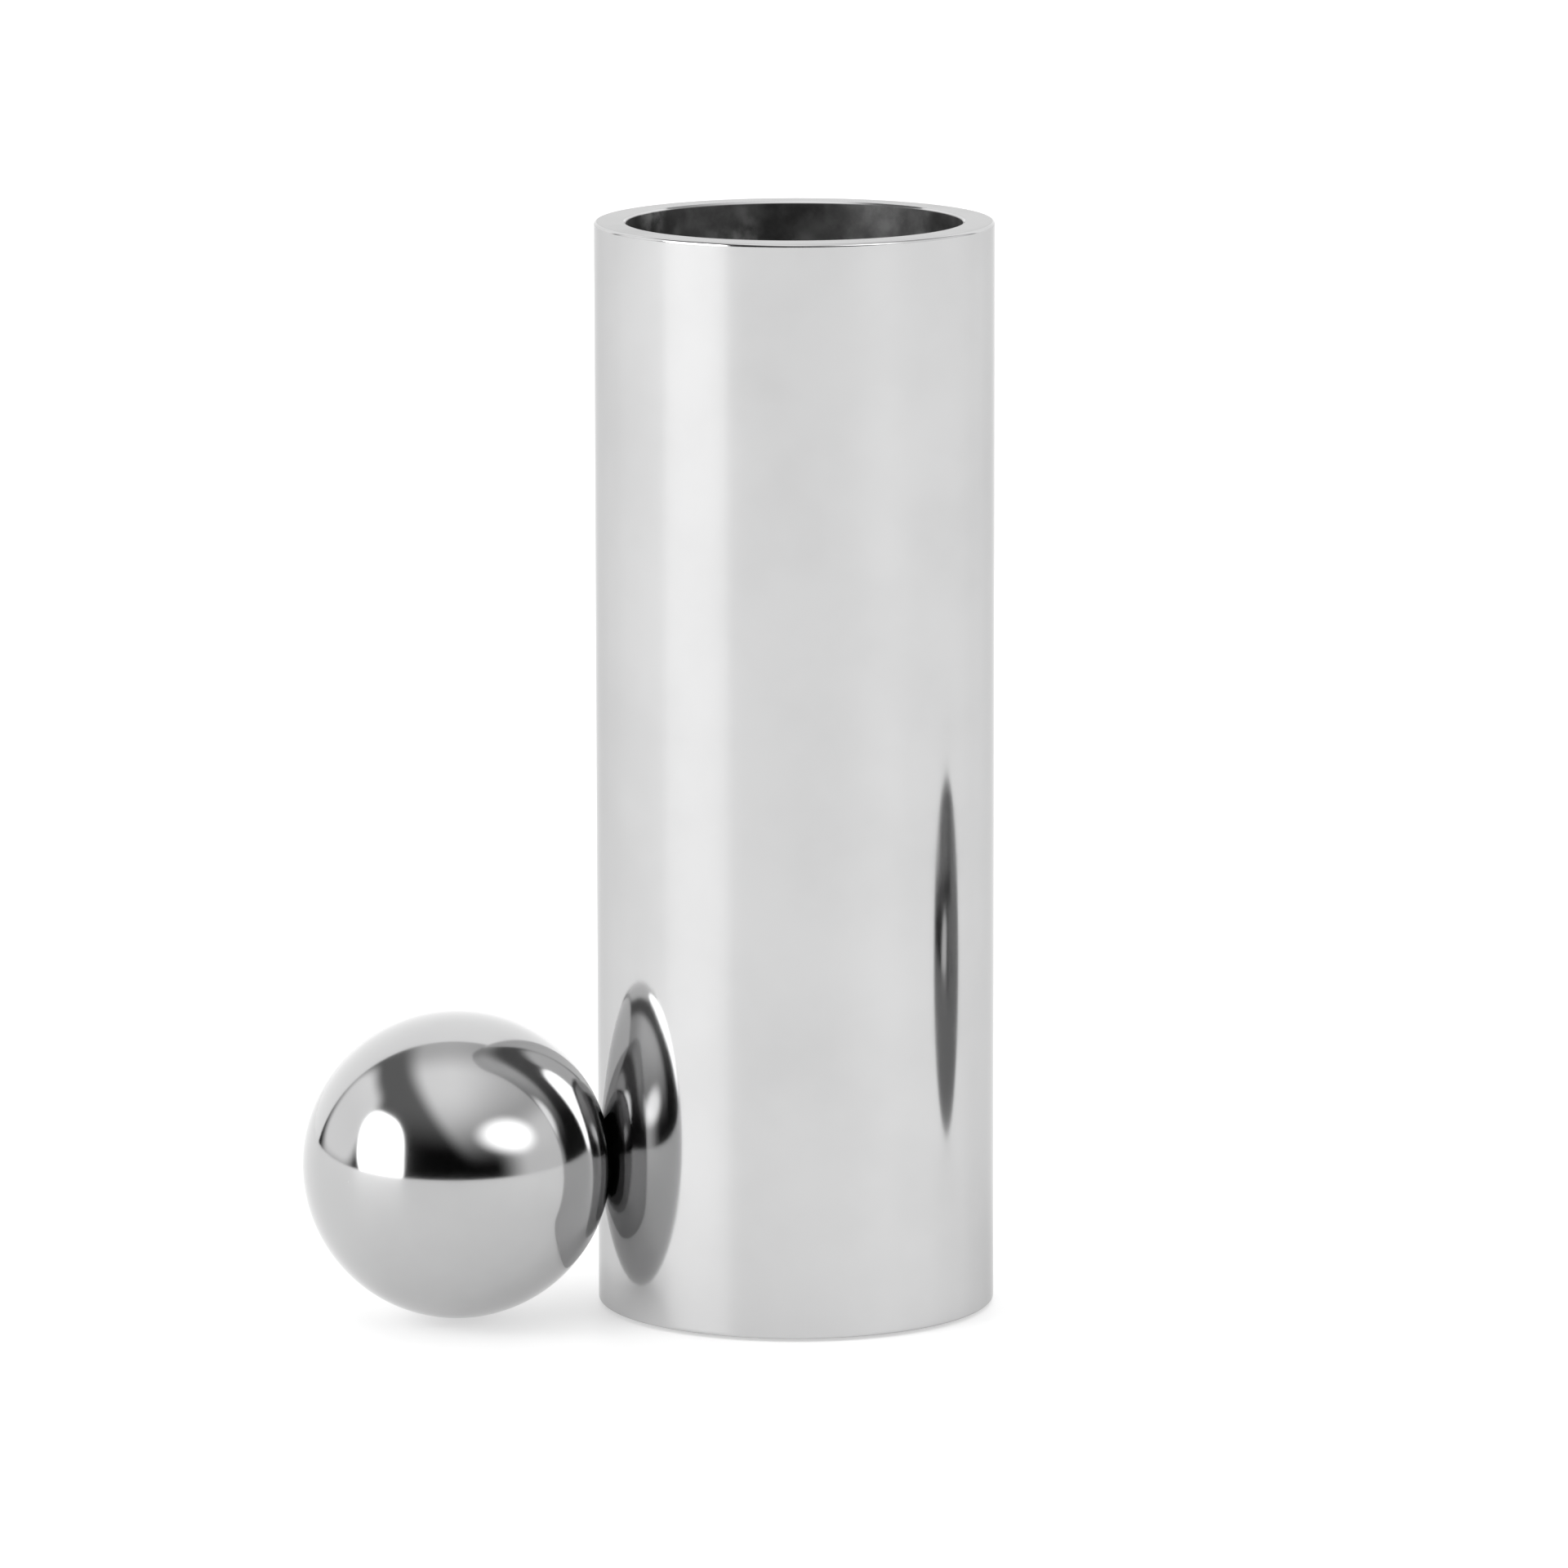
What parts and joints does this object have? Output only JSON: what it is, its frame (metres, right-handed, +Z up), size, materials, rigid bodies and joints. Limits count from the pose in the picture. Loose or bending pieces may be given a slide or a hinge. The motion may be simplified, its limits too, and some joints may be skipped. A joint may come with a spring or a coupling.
{
  "type": "candle holder",
  "caption": "Polished metal tube candle holder with a ball fixed beside its foot; a lift-out pan in its mouth takes a tealight, and the pan's socket takes a taper candle.",
  "frame": {"origin": "centre of the foot pad's underside, on the tube's axis, where the holder rests on the table", "axes": "+Z up along the tube's axis; the ball stands beside the foot towards -X, with its centre and its screw in the plane Y = 0"},
  "size_m": [0.0882, 0.05, 0.1374],
  "materials": {
    "polished_steel": "polished",
    "spun_steel": "satin",
    "turned_steel": "satin",
    "black_steel": "satin",
    "zinc_steel": "satin",
    "felt": "matte"
  },
  "bodies": {
    "holder": {"tube": "polished_steel", "seat_ring": "turned_steel", "ball": "polished_steel", "ball_screw": "black_steel", "lock_washer": "zinc_steel", "saddle_washer": "turned_steel", "base_plug": "turned_steel", "foot_pad": "felt"},
    "candle_insert": {"wax_pan": "spun_steel", "taper_socket": "spun_steel"}
  },
  "joints": [
    {"name": "insert_lift", "type": "slide", "parent": "holder", "child": "candle_insert", "axis": [0, 0, 1], "range_m": [0, 0.05]}
  ]
}
